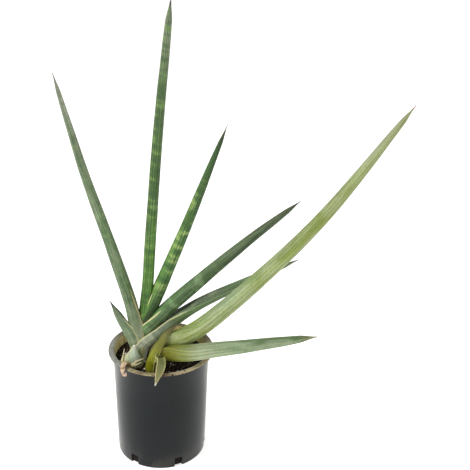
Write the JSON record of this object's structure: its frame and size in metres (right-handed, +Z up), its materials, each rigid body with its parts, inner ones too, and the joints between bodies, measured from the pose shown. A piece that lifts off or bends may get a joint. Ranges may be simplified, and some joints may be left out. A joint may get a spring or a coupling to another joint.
{
  "type": "cylindrical snake plant in a pot",
  "caption": "Cylindrical snake plant: two fans of stiff, tapering, round leaves growing in a round, dark plastic container filled with potting mix.",
  "frame": {"origin": "centre of the container's flat underside, on the surface that it stands on", "axes": "+Z up, -Y towards the plant's front, +X to the right seen from the front"},
  "size_m": [0.3858, 0.1376, 0.567],
  "materials": {
    "pot": "satin dark slate moulded plastic",
    "potting_mix": "dry, crumbly peat and bark mix",
    "leaf_green": "satin, deep green, with darker cross-bands",
    "leaf_banded": "satin, bright green, with pale cross-bands",
    "leaf_grey_green": "matt, grey-green bloom with faint cross-bands",
    "leaf_pale": "matt, pale yellow-green under a whitish bloom",
    "leaf_yellowed": "satin, olive-yellow, drying at its end",
    "scale_leaf": "matt, pale mint green with papery edges",
    "dry_leaf": "matt, papery, straw-coloured to brown",
    "rhizome": "matt, pale orange-brown"
  },
  "bodies": {
    "root": {"pot": "pot", "potting_mix": "potting_mix", "leaf_tall_centre": "leaf_green", "leaf_right_upper": "leaf_banded", "leaf_right_middle": "leaf_grey_green", "leaf_right_low": "leaf_grey_green", "leaf_left_long": "leaf_grey_green", "leaf_left_short": "leaf_grey_green", "leaf_front_longest": "leaf_pale", "leaf_front_low": "leaf_pale", "leaf_front_stub": "leaf_yellowed", "scale_leaf_left": "scale_leaf", "scale_leaf_front": "leaf_yellowed", "dry_sheath": "dry_leaf", "withered_leaf": "dry_leaf", "rhizome": "rhizome"}
  },
  "joints": []
}
